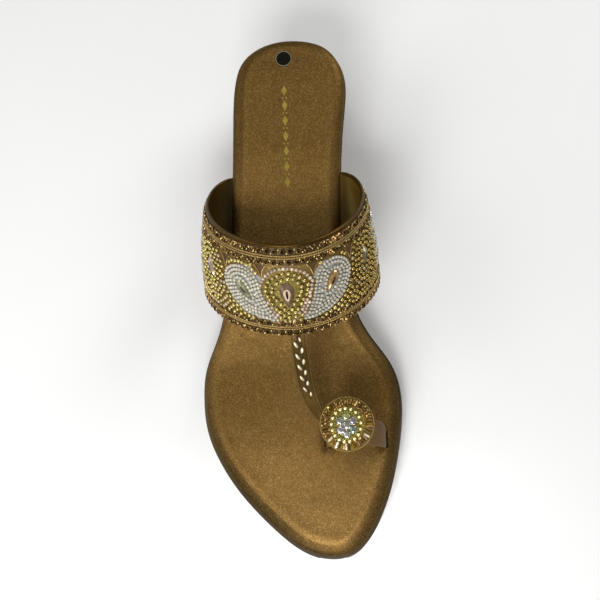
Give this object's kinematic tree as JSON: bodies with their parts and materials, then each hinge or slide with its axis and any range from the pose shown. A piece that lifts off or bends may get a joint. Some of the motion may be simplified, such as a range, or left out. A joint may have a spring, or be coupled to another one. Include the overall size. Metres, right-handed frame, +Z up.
{
  "type": "low wedge toe-ring sandal",
  "caption": "Right-foot low wedge slide sandal with a beaded instep band, a narrow T-strap, a toe ring with a round medallion and a padded footbed.",
  "frame": {"origin": "middle of the shoe's bounding box on the floor", "axes": "+Z up, toe towards -Y, heel towards +Y, medial (big toe) side towards +X"},
  "size_m": [0.0953, 0.248, 0.076],
  "materials": {
    "tread_rubber": "matte brown moulded rubber with a fine wavy tread",
    "wedge_unit": "smooth matte olive-brown moulded unit",
    "bronze_footbed": "bronze metallic glitter leatherette, padded, soft sheen",
    "beaded_band": "fabric strap covered with gold, pearl and copper beads and metallic cord, smooth lining",
    "gilt_beads": "gilt beads and clear stones on a stiff disc"
  },
  "bodies": {
    "root": {"outsole": "tread_rubber", "wedge": "wedge_unit", "insole": "bronze_footbed", "upper": "beaded_band", "medallion": "gilt_beads"}
  },
  "joints": []
}
